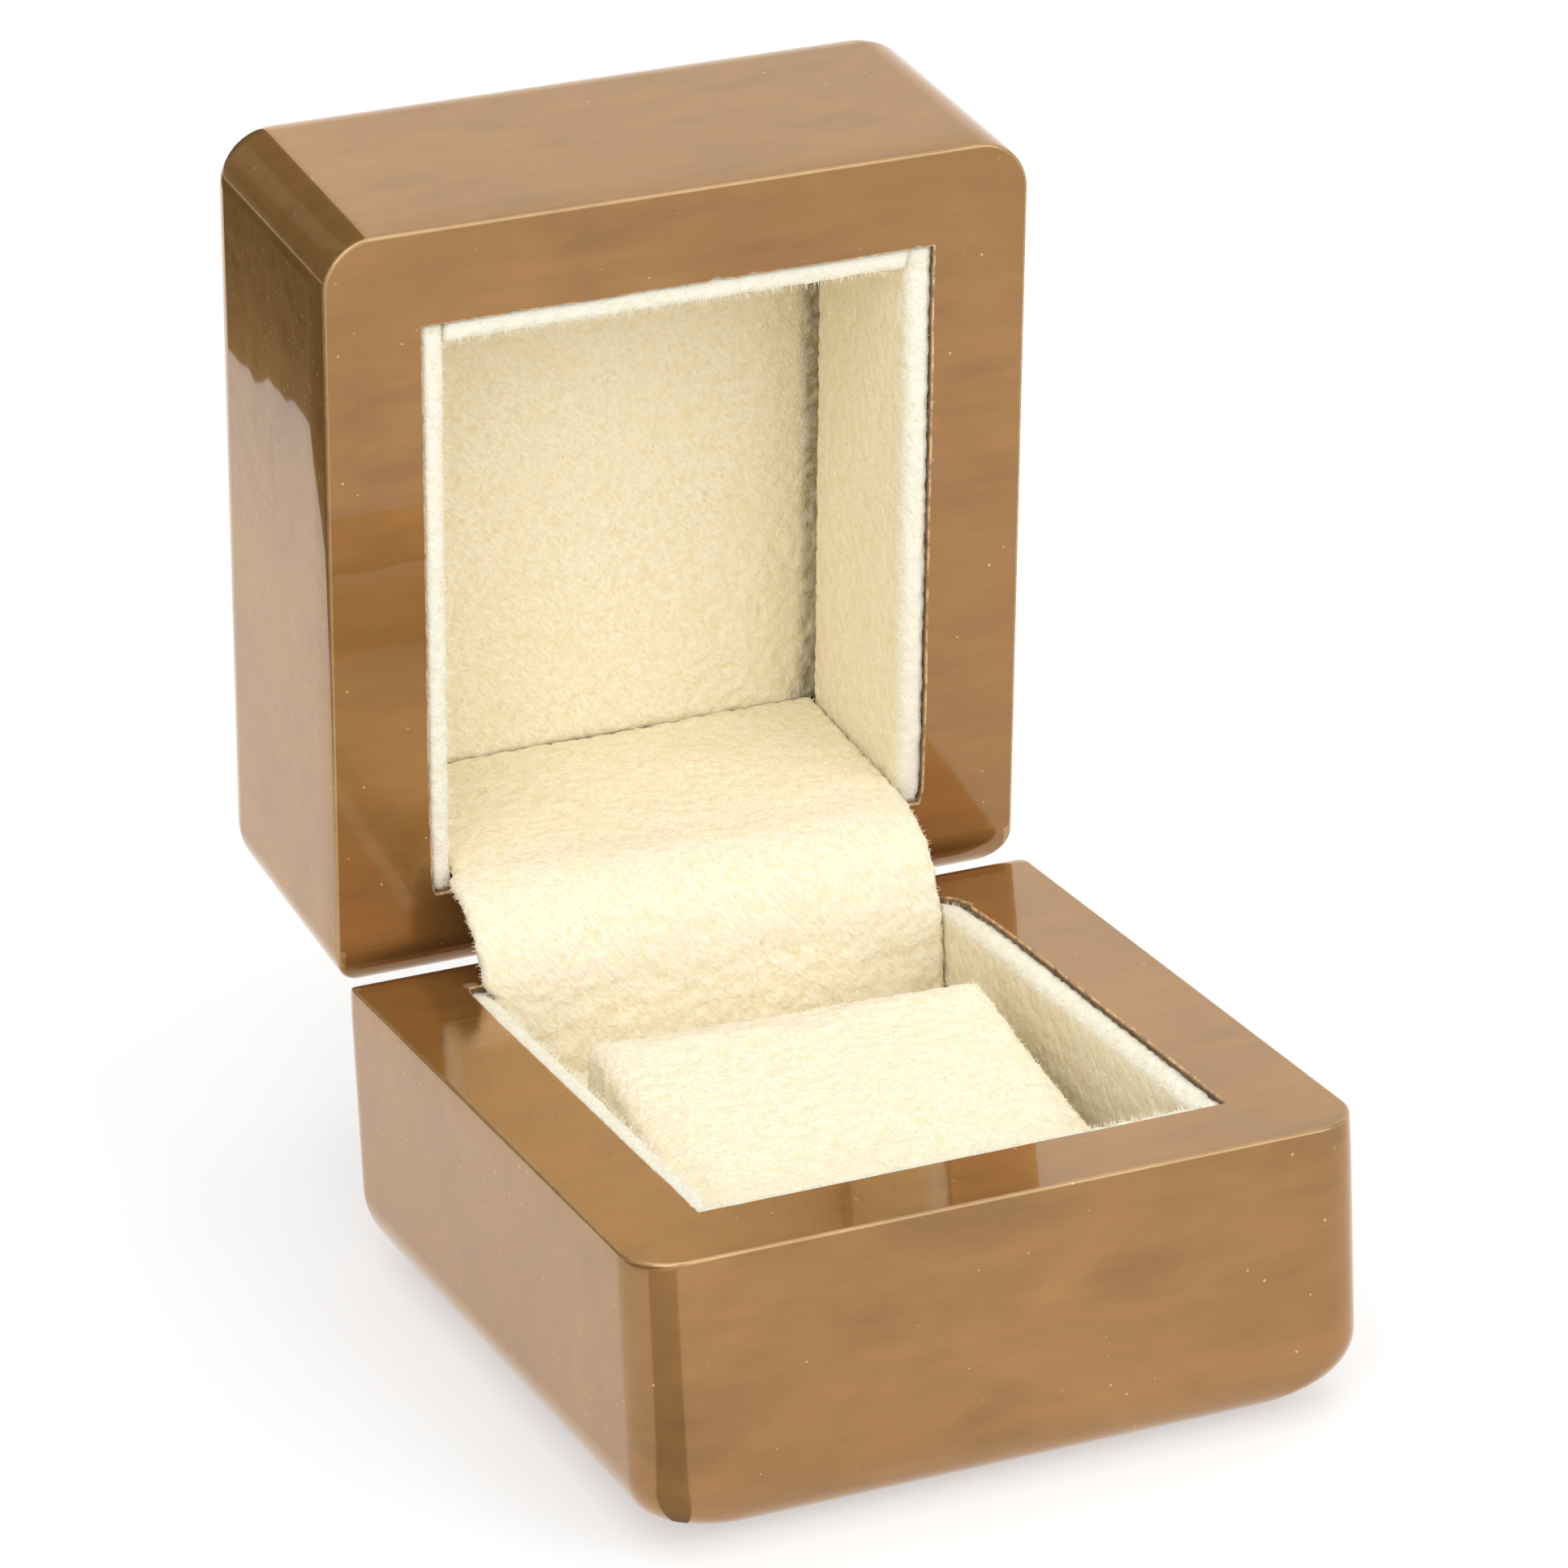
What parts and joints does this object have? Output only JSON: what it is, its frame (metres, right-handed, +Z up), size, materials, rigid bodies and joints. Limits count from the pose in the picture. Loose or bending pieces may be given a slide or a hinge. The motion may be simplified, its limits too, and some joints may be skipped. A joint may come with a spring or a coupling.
{
  "type": "ring box",
  "caption": "Lacquered wooden ring box with rounded corners, a sprung hinge, a plush lining and a ramp-shaped ring pad, stored open.",
  "frame": {"origin": "middle of the felt under the base, in the plane that the box rests on", "axes": "+Z up, +Y to the rear, where the hinge is, +X to the right as seen from the open front"},
  "size_m": [0.06, 0.0947, 0.0911],
  "materials": {
    "lacquered_wood": "warm bronze high-gloss lacquer over smooth board",
    "plush": "cream short-pile plush on thin card",
    "foam": "open-cell padding",
    "felt": "dark brown pressed felt",
    "nickelled_steel": "nickel plated sheet and wire"
  },
  "bodies": {
    "base": {"base_shell": "lacquered_wood", "base_felt": "felt", "base_floor_card": "plush", "base_liner_left": "plush", "base_liner_right": "plush", "base_liner_front": "plush", "ring_ramp_cover": "plush", "ring_ramp_foam": "foam", "ring_block_cover": "plush", "ring_block_foam": "foam", "bridge_flap": "plush", "base_leaf": "nickelled_steel", "hinge_pin": "nickelled_steel", "snap_spring": "nickelled_steel", "base_leaf_screw_left": "nickelled_steel", "base_leaf_screw_right": "nickelled_steel"},
    "lid": {"lid_shell": "lacquered_wood", "lid_panel": "plush", "lid_panel_foam": "foam", "lid_liner_left": "plush", "lid_liner_right": "plush", "lid_liner_front": "plush", "lid_leaf": "nickelled_steel", "lid_leaf_screw_left": "nickelled_steel", "lid_leaf_screw_right": "nickelled_steel"}
  },
  "joints": [
    {"name": "lid_hinge", "type": "hinge", "parent": "base", "child": "lid", "pos_m": [0, 0.0317, 0.0235], "axis": [1, 0, 0], "range_deg": [0, 82.4], "deforming": ["bridge_flap"]}
  ]
}
